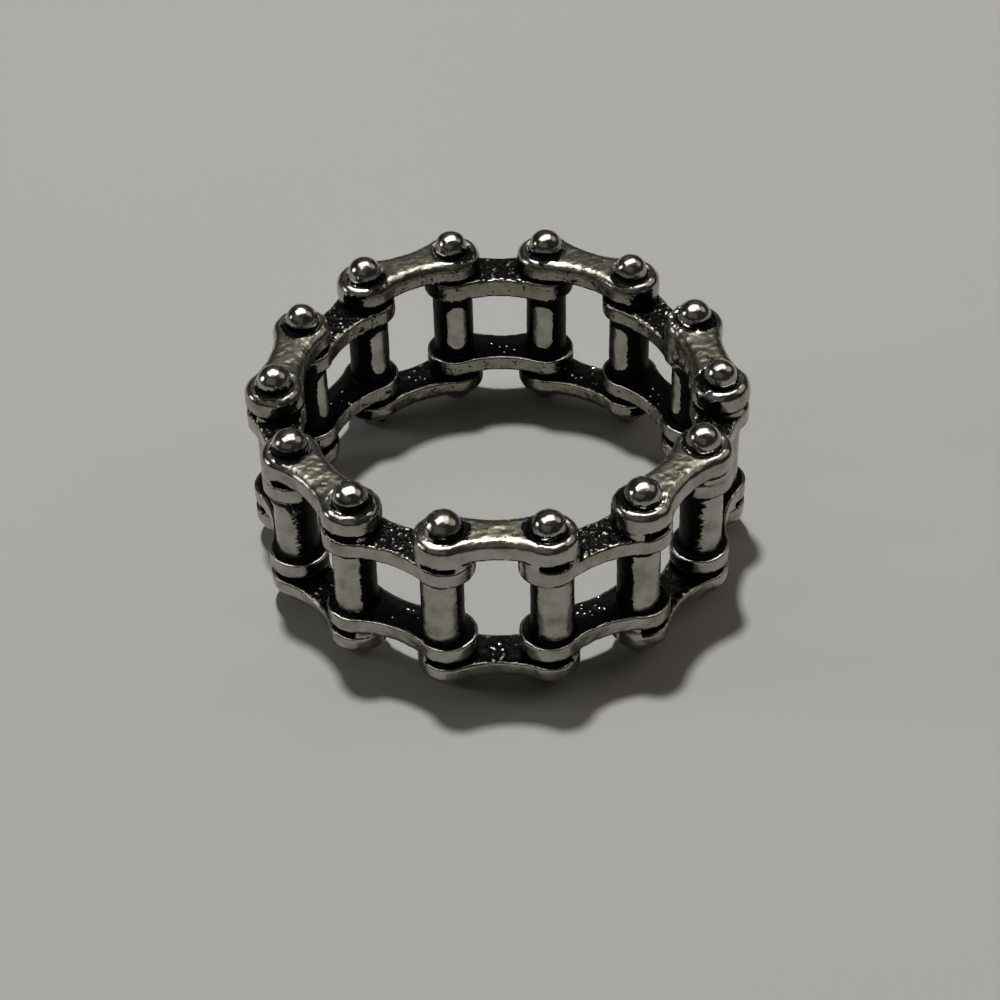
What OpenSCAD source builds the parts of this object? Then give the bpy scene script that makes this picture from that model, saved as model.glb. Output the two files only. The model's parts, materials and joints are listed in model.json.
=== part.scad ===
// Chain link finger ring: a loop of roller chain, cast in one piece.
// Millimetres, +Z up. The finger hole's axis is Z and the ring stands on its lower rivet heads at Z 0.
// The front outer link faces -Y.

/* [Finger hole] */
// Diameter of the finger hole between the plate ends, US ring size 9 1/2
finger_bore_d = 19.4; // [18.2:0.1:21.4]

/* [Chain] */
// Pins round the ring, an even number because outer and inner links take turns
pin_count = 14; // [12:2:16]

/* [Link plates] */
// Radius of a plate's round ends
plate_end_r = 1.5; // [1.35:0.05:1.65]
// Width of a plate across its waist
plate_waist_w = 2.0; // [1.6:0.01:2.4]
// Thickness of the two outer plates of a link
outer_plate_t = 1.1; // [0.8:0.05:1.6]
// Thickness of the two inner plates of a link
inner_plate_t = 0.9; // [0.7:0.05:1.4]
// Slot between an inner plate and the outer plate that laps it
plate_slot = 0.45; // [0.3:0.05:0.8]
// Rounding along the outer face of the outer plates
outer_edge_r = 0.3; // [0.15:0.05:0.4]
// Rounding along the outer face of the inner plates
inner_edge_r = 0.15; // [0.1:0.05:0.25]
// How far a waist's arc runs in past the edge of a round end, where the two meet in a fine crease
waist_crease = 0.02; // [0.01:0.01:0.05]

/* [Rollers and pins] */
// Radius of a roller
roller_r = 1.07; // [0.95:0.01:1.2]
// Length of a roller, from inner plate to inner plate
roller_l = 4.2; // [3:0.1:5.5]
// Radius of the pin, which shows in the slot between two plates
pin_r = 0.9; // [0.7:0.01:0.94]

/* [Rivet heads] */
// Radius of a round rivet head
head_r = 0.855; // [0.75:0.005:0.93]
// Height of the middle of a head over its plate
head_rise = 0.15; // [0.05:0.01:0.3]
// Width of the flat floor round the foot of a head
dish_floor_w = 0.05; // [0.03:0.01:0.1]
// Width of the sloped wall from that floor up to the plate's face
dish_wall_w = 0.2; // [0.1:0.01:0.25]
// Depth of the floor under the plate's face
dish_depth = 0.15; // [0.08:0.01:0.25]

/* [Hidden] */
$fn = 96;
STEEL = [0.46, 0.45, 0.42];
DARK_STEEL = [0.2, 0.2, 0.19];
// how far a cutter runs past what it cuts
CUT = 1;

// the pins' circle, from which the plate ends reach in to the finger hole, and the straight pitch of the pins
pin_circle_r = finger_bore_d / 2 + plate_end_r;
pin_angle = 360 / pin_count;
half_pitch = pin_circle_r * sin(pin_angle / 2);
link_r = pin_circle_r * cos(pin_angle / 2);

// the hollow of a waist is an arc that touches a circle just inside each round end
half_waist = plate_waist_w / 2;
touched_r = plate_end_r - waist_crease;
waist_arc_r = (pow(half_pitch, 2) + pow(half_waist, 2) - pow(touched_r, 2))
    / (2 * (touched_r - half_waist));
waist_arc_y = half_waist + waist_arc_r;

// levels over the middle of the ring's height
inner_plate_z = roller_l / 2;
outer_plate_z = inner_plate_z + inner_plate_t + plate_slot;
outer_face_z = outer_plate_z + outer_plate_t;
head_z = outer_face_z + head_rise;
half_height = head_z + head_r;

// the dish round a head: its floor and its mouth
dish_floor_r = head_r + dish_floor_w;
dish_mouth_r = dish_floor_r + dish_wall_w;

// A round plate end, with its upper edge rounded.
module plate_end(thickness, edge_r) {
    rotate_extrude()
        union() {
            square([plate_end_r - edge_r, thickness]);
            square([plate_end_r, thickness - edge_r]);
            translate([plate_end_r - edge_r, thickness - edge_r])
                circle(r = edge_r);
        }
}

// What is hollowed out of one side of a waist, flared where the plate's upper edge is rounded.
module waist_hollow(thickness, edge_r) {
    rotate_extrude()
        union() {
            translate([0, -CUT])
                square([waist_arc_r, thickness + 2 * CUT]);
            difference() {
                translate([0, thickness - edge_r])
                    square([waist_arc_r + edge_r, edge_r + CUT]);
                translate([waist_arc_r + edge_r, thickness - edge_r])
                    circle(r = edge_r);
            }
        }
}

// A link plate from pin to pin along X, on Z 0, with its rounded face up.
module link_plate(thickness, edge_r) {
    for (side = [-1, 1])
        translate([side * half_pitch, 0, 0])
            plate_end(thickness, edge_r);
    difference() {
        linear_extrude(height = thickness)
            polygon([
                [-half_pitch, 0],
                [0, -waist_arc_y],
                [half_pitch, 0],
                [0, waist_arc_y],
            ]);
        for (side = [-1, 1])
            translate([0, side * waist_arc_y, 0])
                waist_hollow(thickness, edge_r);
    }
}

// An outer plate, with a dish for the rivet head at each end.
module outer_plate() {
    color(STEEL)
        difference() {
            link_plate(outer_plate_t, outer_edge_r);
            for (side = [-1, 1])
                translate([side * half_pitch, 0, outer_plate_t - dish_depth])
                    cylinder(h = dish_depth, r1 = dish_floor_r, r2 = dish_mouth_r);
        }
}

module inner_plate() {
    color(STEEL)
        link_plate(inner_plate_t, inner_edge_r);
}

module rivet_head() {
    color(STEEL)
        sphere(r = head_r);
}

// The upper half of a pin: it runs from mid-height into the outer plate.
module half_pin() {
    color(DARK_STEEL)
        cylinder(h = outer_plate_z + outer_plate_t / 2, r = pin_r);
}

module half_roller() {
    color(DARK_STEEL)
        cylinder(h = inner_plate_z, r = roller_r);
}

// Turns a link that is modelled at the front to its place in the loop.
module at_link(number) {
    rotate([0, 0, number * pin_angle])
        translate([0, -link_r, 0])
            children();
}

// Turns a pin to its place, half a link on from the link of the same number.
module at_pin(number) {
    rotate([0, 0, (number + 0.5) * pin_angle])
        translate([0, -pin_circle_r, 0])
            children();
}

// Everything over mid-height: the ring's other half mirrors it.
module upper_half() {
    for (number = [0:2:pin_count - 2])
        at_link(number)
            translate([0, 0, outer_plate_z])
                outer_plate();
    for (number = [1:2:pin_count - 1])
        at_link(number)
            translate([0, 0, inner_plate_z])
                inner_plate();
    for (number = [0:pin_count - 1])
        at_pin(number) {
            half_roller();
            half_pin();
            translate([0, 0, head_z])
                rivet_head();
        }
}

// The whole casting.
module band() {
    translate([0, 0, half_height]) {
        upper_half();
        mirror([0, 0, 1])
            upper_half();
    }
}

band();
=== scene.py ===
"""Dresses the cast chain ring: blackened steel, polished where the mop reached it.

Modelling is done in millimetres and brought to metres once, when a piece is finished.
The front of the ring is towards -Y, its axis is Z, and it stands on its lower rivet heads.
"""

import json
import logging
import math
import random
from dataclasses import dataclass
from enum import Enum
from typing import Any, Callable, Sequence

import bmesh
import bpy
import numpy as np
from mathutils import Matrix, Vector

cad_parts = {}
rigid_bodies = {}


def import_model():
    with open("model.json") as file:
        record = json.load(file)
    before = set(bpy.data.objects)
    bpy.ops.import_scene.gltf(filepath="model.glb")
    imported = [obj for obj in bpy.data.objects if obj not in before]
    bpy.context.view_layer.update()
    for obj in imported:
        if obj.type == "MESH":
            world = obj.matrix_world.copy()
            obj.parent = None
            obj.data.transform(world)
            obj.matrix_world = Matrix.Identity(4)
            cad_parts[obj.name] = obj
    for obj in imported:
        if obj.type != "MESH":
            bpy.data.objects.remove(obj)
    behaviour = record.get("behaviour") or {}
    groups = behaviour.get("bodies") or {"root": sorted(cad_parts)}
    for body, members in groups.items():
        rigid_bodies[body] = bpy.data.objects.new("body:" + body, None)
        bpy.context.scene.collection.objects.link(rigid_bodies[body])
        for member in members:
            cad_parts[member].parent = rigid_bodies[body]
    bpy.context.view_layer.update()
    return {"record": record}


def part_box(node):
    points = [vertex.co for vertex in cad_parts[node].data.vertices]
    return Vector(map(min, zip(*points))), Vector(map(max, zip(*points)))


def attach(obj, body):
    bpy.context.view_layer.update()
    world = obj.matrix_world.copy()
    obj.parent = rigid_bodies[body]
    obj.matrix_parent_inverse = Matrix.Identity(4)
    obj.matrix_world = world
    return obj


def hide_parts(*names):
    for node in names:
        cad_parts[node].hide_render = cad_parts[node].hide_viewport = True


LOG = logging.getLogger("chain_link_ring")
MM = 0.001
ROUND = 96
ARC_ROUND = 192
RIM_STEPS = 8
# millimetres within which two levels or two corners count as the same
SAME_LEVEL = 0.001
SAME_CORNER = 0.0005
# corners this near are merged before a rim is rounded, and sides this flat become one face
NEAR_CORNER = 0.02
NEARLY_FLAT = math.radians(0.6)


class Side(Enum):
    """Which half of the ring a plate or a head belongs to."""

    UPPER = 1
    LOWER = -1


class FlawedLink(Enum):
    """The links with flaws of their own, by number from the front towards the right."""

    FRONT = 0
    RIGHT_OF_FRONT = 1
    FAR_RIGHT = 2
    BACK = 3
    LEFT = 6


class Join(Enum):
    """How a tool shape is worked into a body."""

    ADD = "UNION"
    CUT = "DIFFERENCE"


@dataclass(frozen=True)
class RingSizes:
    """The casting's sizes in millimetres, heights taken from mid-height.

    Attributes:
        hole_r: Radius of the finger hole.
        half_size: From the ring's middle to its outermost points along X, Y and Z.
        pin_count: Pins round the ring.
        plate_end_r: Radius of a plate's round ends.
        plate_waist_w: Width of a plate across its waist.
        waist_crease: How far a waist's arc runs in past the edge of a round end.
        outer_plate_t: Thickness of the outer plates.
        inner_plate_t: Thickness of the inner plates.
        plate_slot: Slot between an inner plate and the outer plate that laps it.
        outer_edge: How far the mopped rim of an outer plate runs in from the wall, and down it.
        inner_edge: The same of an inner plate.
        roller_r: Radius of a roller.
        roller_l: Length of a roller, from inner plate to inner plate.
        pin_r: Radius of a pin, which shows in the slots.
        head_r: Radius of a sound rivet head.
        dish_floor_w: Width of the flat floor round the foot of a head.
        dish_wall_w: Width of the sloped wall from that floor up to the plate's face.
        dish_depth: Depth of the floor under the plate's face.
        roller_drift: How far a roller ran off its pin along the loop, by the pin's number.
        head_growth: Size of each upper rivet head against the sound one, by the pin's number.
    """

    hole_r: float
    half_size: tuple[float, float, float]
    pin_count: int = 14
    plate_end_r: float = 1.5
    plate_waist_w: float = 2.0
    waist_crease: float = 0.02
    outer_plate_t: float = 1.1
    inner_plate_t: float = 0.9
    plate_slot: float = 0.45
    outer_edge: tuple[float, float] = (0.55, 0.5)
    inner_edge: tuple[float, float] = (0.13, 0.13)
    roller_r: float = 1.07
    roller_l: float = 4.2
    pin_r: float = 0.9
    head_r: float = 0.855
    dish_floor_w: float = 0.05
    dish_wall_w: float = 0.2
    dish_depth: float = 0.15
    roller_drift: tuple[float, ...] = (
        0.15, -0.15, 0.03, -0.04, 0.0, 0.04, -0.03, 0.02, 0.0, -0.05, 0.04, -0.04, 0.0, -0.17,
    )
    head_growth: tuple[float, ...] = (
        1.02, 1.07, 1.03, 0.97, 1.02, 1.0, 1.02, 1.0, 1.03, 0.98, 1.02, 1.06, 1.03, 1.13,
    )

    @classmethod
    def from_frame(cls, record: dict[str, Any]) -> "RingSizes":
        """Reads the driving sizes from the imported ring.

        Args:
            record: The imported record, which holds the finger hole's mount.

        Returns:
            The sizes of the ring that was packed.
        """
        low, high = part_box("band")
        hole = next(mount for mount in record["mounts"] if mount["name"] == "finger_hole")
        return cls(
            hole_r=float(hole["dims"]["r_mm"]),
            half_size=tuple((high - low) / 2 / MM),
        )

    @property
    def half_height(self) -> float:
        """From mid-height to the top of a rivet head."""
        return self.half_size[2]

    @property
    def pin_circle_r(self) -> float:
        """Radius of the circle on which the pins stand."""
        return self.hole_r + self.plate_end_r

    @property
    def pin_angle(self) -> float:
        """Angle from one pin to the next, in radians."""
        return 2 * math.pi / self.pin_count

    @property
    def half_pitch(self) -> float:
        """Half the straight distance between two pins."""
        return self.pin_circle_r * math.sin(self.pin_angle / 2)

    @property
    def link_r(self) -> float:
        """From the ring's axis to the middle of a link."""
        return self.pin_circle_r * math.cos(self.pin_angle / 2)

    @property
    def inner_plate_z(self) -> float:
        """Level of the inner plates' face on the rollers."""
        return self.roller_l / 2

    @property
    def inner_face_z(self) -> float:
        """Level of the inner plates' face on the slot."""
        return self.inner_plate_z + self.inner_plate_t

    @property
    def outer_plate_z(self) -> float:
        """Level of the outer plates' face on the slot."""
        return self.inner_face_z + self.plate_slot

    @property
    def outer_face_z(self) -> float:
        """Level of the outer plates' open face."""
        return self.outer_plate_z + self.outer_plate_t

    @property
    def dish_floor_r(self) -> float:
        """Radius of the flat floor round the foot of a head."""
        return self.head_r + self.dish_floor_w

    @property
    def dish_mouth_r(self) -> float:
        """Radius of the dish at the plate's face."""
        return self.dish_floor_r + self.dish_wall_w

    @property
    def waist_arc_r(self) -> float:
        """Works out the arc that hollows a plate's waist.

        Returns:
            Its radius, with which it touches a circle just inside each round end.
        """
        half_waist = self.plate_waist_w / 2
        touched_r = self.plate_end_r - self.waist_crease
        rest = self.half_pitch**2 + half_waist**2 - touched_r**2
        return rest / (2 * (touched_r - half_waist))

    def place(self, turn: float, radius: float, along: float = 0.0) -> tuple[float, float]:
        """Gives a place in the loop.

        Args:
            turn: Its turn from the front, counted in pins.
            radius: Its distance from the ring's axis.
            along: How far it is moved on along the loop.

        Returns:
            The place along X and Y.
        """
        angle = turn * self.pin_angle
        x = radius * math.sin(angle) + along * math.cos(angle)
        y = along * math.sin(angle) - radius * math.cos(angle)
        return x, y

    def pin_place(self, turn: float) -> tuple[float, float]:
        """Gives the place of the pin at a turn that is counted in pins from the front."""
        return self.place(turn, self.pin_circle_r)


class Bench:
    """The modelling moves that every piece is made with."""

    @staticmethod
    def pick(*pieces: bpy.types.Object) -> None:
        """Selects some pieces alone.

        Args:
            *pieces: The pieces, of which the first is made active.
        """
        if bpy.context.object and bpy.context.object.mode != "OBJECT":
            bpy.ops.object.mode_set(mode="OBJECT")
        bpy.ops.object.select_all(action="DESELECT")
        for piece in pieces:
            piece.select_set(True)
        bpy.context.view_layer.objects.active = pieces[0]

    @staticmethod
    def settle() -> bpy.types.Object:
        """Puts the active object's place into its mesh.

        Returns:
            The active object.
        """
        piece = bpy.context.object
        Bench.pick(piece)
        bpy.ops.object.transform_apply(location=True, rotation=True, scale=True)
        return piece

    @staticmethod
    def cylinder(
        radius: float, low: float, high: float, x: float = 0.0, y: float = 0.0, sides: int = ROUND
    ) -> bpy.types.Object:
        """Adds an upright cylinder.

        Args:
            radius: Its radius.
            low: Level of its lower face.
            high: Level of its upper face.
            x: Place of its axis.
            y: Place of its axis.
            sides: Number of its side faces.

        Returns:
            The new object, with its place in its mesh.
        """
        bpy.ops.object.select_all(action="DESELECT")
        bpy.ops.mesh.primitive_cylinder_add(
            vertices=sides, radius=radius, depth=high - low, location=(x, y, (low + high) / 2)
        )
        return Bench.settle()

    @staticmethod
    def cone(
        low_r: float, high_r: float, low: float, high: float, x: float = 0.0, y: float = 0.0
    ) -> bpy.types.Object:
        """Adds an upright cut cone.

        Args:
            low_r: Radius of its lower face.
            high_r: Radius of its upper face.
            low: Level of its lower face.
            high: Level of its upper face.
            x: Place of its axis.
            y: Place of its axis.

        Returns:
            The new object, with its place in its mesh.
        """
        bpy.ops.object.select_all(action="DESELECT")
        bpy.ops.mesh.primitive_cone_add(
            vertices=ROUND, radius1=low_r, radius2=high_r, depth=high - low,
            location=(x, y, (low + high) / 2),
        )
        return Bench.settle()

    @staticmethod
    def bar(half_x: float, half_y: float, low: float, high: float) -> bpy.types.Object:
        """Adds a flat bar on the Z axis.

        Args:
            half_x: Half its length.
            half_y: Half its width.
            low: Level of its lower face.
            high: Level of its upper face.

        Returns:
            The new object, with its place in its mesh.
        """
        bpy.ops.object.select_all(action="DESELECT")
        bpy.ops.mesh.primitive_cube_add(
            size=1, location=(0, 0, (low + high) / 2), scale=(2 * half_x, 2 * half_y, high - low)
        )
        return Bench.settle()

    @staticmethod
    def ball(
        radius: float, place: Sequence[float], squash: Sequence[float] = (1, 1, 1)
    ) -> bpy.types.Object:
        """Adds a ball, squashed along the axes.

        Args:
            radius: Its radius before it is squashed.
            place: Its middle.
            squash: Scale along X, Y and Z.

        Returns:
            The new object, with its place in its mesh.
        """
        bpy.ops.object.select_all(action="DESELECT")
        bpy.ops.mesh.primitive_uv_sphere_add(
            segments=48, ring_count=24, radius=radius, location=place, scale=squash
        )
        return Bench.settle()

    @staticmethod
    def cut_off(body: bpy.types.Object, place: Sequence[float], direction: Sequence[float]) -> None:
        """Cuts off what lies beyond a plane and closes the cut.

        Args:
            body: The object that is cut.
            place: A point on the plane.
            direction: Direction in which everything beyond the plane is cut off.
        """
        Bench.pick(body)
        bpy.ops.object.mode_set(mode="EDIT")
        bpy.ops.mesh.select_all(action="SELECT")
        bpy.ops.mesh.bisect(plane_co=place, plane_no=direction, use_fill=True, clear_outer=True)
        bpy.ops.object.mode_set(mode="OBJECT")

    @staticmethod
    def work(body: bpy.types.Object, tool: bpy.types.Object, join: Join) -> None:
        """Adds a tool shape to a body or cuts it out, and throws the tool away.

        Args:
            body: The object that is changed.
            tool: The shape that is used up.
            join: Whether it is added or cut.
        """
        Bench.pick(body)
        bpy.ops.object.modifier_add(type="BOOLEAN")
        modifier = body.modifiers[-1]
        modifier.operation = join.value
        modifier.solver = "EXACT"
        modifier.object = tool
        bpy.ops.object.modifier_apply(modifier=modifier.name)
        bpy.data.objects.remove(tool)

    @staticmethod
    def drop_specks(body: bpy.types.Object) -> None:
        """Deletes the specks that a remesh leaves inside the metal, apart from the body itself.

        Args:
            body: The object that is cleared of them.
        """
        Bench.pick(body)
        bpy.ops.object.mode_set(mode="EDIT")
        bpy.ops.mesh.select_mode(type="VERT")
        bpy.ops.mesh.select_all(action="DESELECT")
        bpy.ops.object.mode_set(mode="OBJECT")
        highest = max(body.data.vertices, key=lambda corner: corner.co.z)
        highest.select = True
        bpy.ops.object.mode_set(mode="EDIT")
        bpy.ops.mesh.select_linked()
        bpy.ops.mesh.select_all(action="INVERT")
        bpy.ops.mesh.delete(type="VERT")
        bpy.ops.object.mode_set(mode="OBJECT")

    @staticmethod
    def tidy_faces(body: bpy.types.Object) -> None:
        """Makes each flat side one face and merges corners that nearly meet.

        Args:
            body: The object that is tidied.
        """
        Bench.pick(body)
        bpy.ops.object.mode_set(mode="EDIT")
        bpy.ops.mesh.select_mode(type="VERT")
        bpy.ops.mesh.select_all(action="SELECT")
        bpy.ops.mesh.dissolve_limited(angle_limit=NEARLY_FLAT)
        bpy.ops.mesh.select_all(action="SELECT")
        bpy.ops.mesh.remove_doubles(threshold=NEAR_CORNER)
        bpy.ops.object.mode_set(mode="OBJECT")

    @staticmethod
    def bevel_where(
        body: bpy.types.Object, wanted: Callable[[bmesh.types.BMEdge], bool], width: float, steps: int
    ) -> None:
        """Rounds the edges that a test picks out.

        Args:
            body: The object whose edges are rounded.
            wanted: Says whether an edge is rounded.
            width: Radius of the rounding.
            steps: Number of faces across it.
        """
        Bench.pick(body)
        bpy.ops.object.mode_set(mode="EDIT")
        bpy.ops.mesh.select_mode(type="EDGE")
        bpy.ops.mesh.select_all(action="DESELECT")
        mesh = bmesh.from_edit_mesh(body.data)
        for edge in mesh.edges:
            edge.select_set(wanted(edge))
        bmesh.update_edit_mesh(body.data)
        bpy.ops.mesh.bevel(offset=width, segments=steps, profile=0.5, clamp_overlap=False)
        bpy.ops.object.mode_set(mode="OBJECT")

    @staticmethod
    def round_rim(body: bpy.types.Object, level: float, edge: tuple[float, float]) -> None:
        """Rounds the outline of a flat upper face, as a mop wears it.

        Args:
            body: The object whose rim is rounded.
            level: Level of the flat face.
            edge: How far the rounding runs in from the wall, and down it.
        """
        width, drop = edge

        def on_outline(edge: bmesh.types.BMEdge) -> bool:
            """Picks the edges between the flat face and the upright walls.

            Args:
                edge: An edge of the body.

            Returns:
                Whether it is one of them.
            """
            on_level = all(abs(corner.co.z - level) < SAME_LEVEL for corner in edge.verts)
            walls = [face for face in edge.link_faces if abs(face.normal.z) < 0.5]
            return on_level and len(walls) == 1

        Bench.bevel_where(body, on_outline, width, RIM_STEPS)
        bpy.ops.object.mode_set(mode="EDIT")
        bpy.ops.mesh.select_mode(type="VERT")
        bpy.ops.mesh.select_all(action="DESELECT")
        mesh = bmesh.from_edit_mesh(body.data)
        for corner in mesh.verts:
            corner.select_set(level - width - SAME_LEVEL < corner.co.z < level - 0.1 * SAME_LEVEL)
        bmesh.update_edit_mesh(body.data)
        bpy.ops.transform.resize(value=(1, 1, drop / width), center_override=(0, 0, level))
        bpy.ops.object.mode_set(mode="OBJECT")

    @staticmethod
    def copy(body: bpy.types.Object, turn: float = 0.0, side: Side = Side.UPPER) -> bpy.types.Object:
        """Copies a body with its own mesh, turned about the ring's axis.

        Args:
            body: The object that is copied.
            turn: Angle about Z in radians.
            side: LOWER mirrors the copy through mid-height.

        Returns:
            The copy, with its place in its mesh.
        """
        Bench.pick(body)
        bpy.ops.object.duplicate(linked=False)
        copy = bpy.context.object
        copy.rotation_euler = (0, 0, turn)
        if side is Side.LOWER:
            copy.scale = (1, 1, -1)
        Bench.settle()
        if side is Side.LOWER:
            Bench.face_outwards(copy)
        return copy

    @staticmethod
    def face_outwards(body: bpy.types.Object) -> None:
        """Merges doubled corners and turns all faces outwards.

        Args:
            body: The closed object whose faces are turned.
        """
        Bench.pick(body)
        bpy.ops.object.mode_set(mode="EDIT")
        bpy.ops.mesh.select_all(action="SELECT")
        bpy.ops.mesh.remove_doubles(threshold=SAME_CORNER)
        bpy.ops.mesh.normals_make_consistent(inside=False)
        bpy.ops.object.mode_set(mode="OBJECT")

    @staticmethod
    def joined(name: str, pieces: Sequence[bpy.types.Object]) -> bpy.types.Object:
        """Joins pieces into the first one and names it.

        Args:
            name: Name of the result.
            pieces: The objects that are used up.

        Returns:
            The one object that holds them all.
        """
        Bench.pick(*pieces)
        bpy.ops.object.join()
        body = bpy.context.object
        body.name = name
        body.data.name = name
        return body

    @staticmethod
    def modify(body: bpy.types.Object, kind: str, **settings: Any) -> None:
        """Adds a modifier, sets it and applies it.

        Args:
            body: The object that is changed.
            kind: The modifier's type.
            **settings: The modifier's own values.
        """
        Bench.pick(body)
        bpy.ops.object.modifier_add(type=kind)
        modifier = body.modifiers[-1]
        for setting, value in settings.items():
            setattr(modifier, setting, value)
        bpy.ops.object.modifier_apply(modifier=modifier.name)


@dataclass(frozen=True)
class LinkPlate:
    """A waisted plate from pin to pin along X, its open face up, at the front of the ring.

    Attributes:
        sizes: The ring's sizes.
        low: Level of the plate's closed face.
        thickness: Its thickness.
        edge: How far the rounding along its open face runs in from the wall, and down it.
        dished: Whether it has a dish at each end for a rivet head.
    """

    sizes: RingSizes
    low: float
    thickness: float
    edge: tuple[float, float]
    dished: bool

    def build(self) -> bpy.types.Object:
        """Models the plate at its place.

        Returns:
            The plate as one closed object.
        """
        sizes = self.sizes
        high = self.low + self.thickness
        plate = self._waist(high)
        for side in (-1, 1):
            end = Bench.cylinder(sizes.plate_end_r, self.low, high, x=side * sizes.half_pitch)
            Bench.work(plate, end, Join.ADD)
        Bench.tidy_faces(plate)
        Bench.round_rim(plate, high, self.edge)
        if self.dished:
            self._sink_dishes(plate, high)
        Bench.pick(plate)
        bpy.ops.transform.translate(value=(0, -sizes.link_r, 0))
        return Bench.settle()

    def _waist(self, high: float) -> bpy.types.Object:
        """Models the bar between the round ends, hollowed on both sides.

        Args:
            high: Level of the plate's open face.

        Returns:
            The bar.
        """
        sizes = self.sizes
        arc_y = sizes.plate_waist_w / 2 + sizes.waist_arc_r
        share = sizes.plate_end_r / (sizes.plate_end_r + sizes.waist_arc_r)
        waist = Bench.bar(sizes.half_pitch, arc_y * share, self.low, high)
        for side in (-1, 1):
            hollow = Bench.cylinder(
                sizes.waist_arc_r, self.low - 1, high + 1, y=side * arc_y, sides=ARC_ROUND
            )
            Bench.work(waist, hollow, Join.CUT)
        return waist

    def _sink_dishes(self, plate: bpy.types.Object, high: float) -> None:
        """Cuts the dish for a rivet head into each end of the plate.

        Args:
            plate: The plate that is changed.
            high: Level of its open face.
        """
        sizes = self.sizes
        for side in (-1, 1):
            slope = (sizes.dish_mouth_r - sizes.dish_floor_r) / sizes.dish_depth
            dish = Bench.cone(
                sizes.dish_floor_r, sizes.dish_mouth_r + slope * sizes.dish_depth,
                high - sizes.dish_depth, high + sizes.dish_depth, x=side * sizes.half_pitch,
            )
            Bench.work(plate, dish, Join.CUT)


@dataclass(frozen=True)
class PinStack:
    """What stands on one pin: its roller, the pin in both slots and the two rivet heads.

    Attributes:
        sizes: The ring's sizes.
        into_plate: How far the roller and the pin run into the plates.
        lean: How far a head may stand off its pin.
        lower_growth: Smallest and largest size of a lower head against the sound one.
        flatness: Lowest and highest height of a head against a round one.
    """

    sizes: RingSizes
    into_plate: float = 0.3
    lean: float = 0.03
    lower_growth: tuple[float, float] = (0.97, 1.04)
    flatness: tuple[float, float] = (0.93, 1.0)

    def build(self, number: int, chance: random.Random) -> list[bpy.types.Object]:
        """Models the stack at its place.

        Args:
            number: Number of the pin, counted from the first one past the front.
            chance: Source of the heads' small differences.

        Returns:
            The closed shapes that make up the stack, overlapping each other.
        """
        sizes = self.sizes
        turn = number + 0.5
        x, y = sizes.pin_place(turn)
        roller_x, roller_y = sizes.place(turn, sizes.pin_circle_r, sizes.roller_drift[number])
        roller_end = sizes.inner_plate_z + self.into_plate
        pin_end = sizes.outer_plate_z + self.into_plate
        shapes = [
            Bench.cylinder(sizes.roller_r, -roller_end, roller_end, roller_x, roller_y),
            Bench.cylinder(sizes.pin_r, -pin_end, pin_end, x, y),
        ]
        for side in Side:
            lean = [chance.uniform(-self.lean, self.lean) for _ in range(2)]
            growth = sizes.head_growth[number]
            if side is Side.LOWER:
                growth = chance.uniform(*self.lower_growth)
            radius = sizes.head_r * growth
            flat = chance.uniform(*self.flatness) / growth
            level = side.value * (sizes.half_height - flat * radius)
            shapes.append(Bench.ball(radius, (x + lean[0], y + lean[1], level), (1, 1, flat)))
        return shapes


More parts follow.
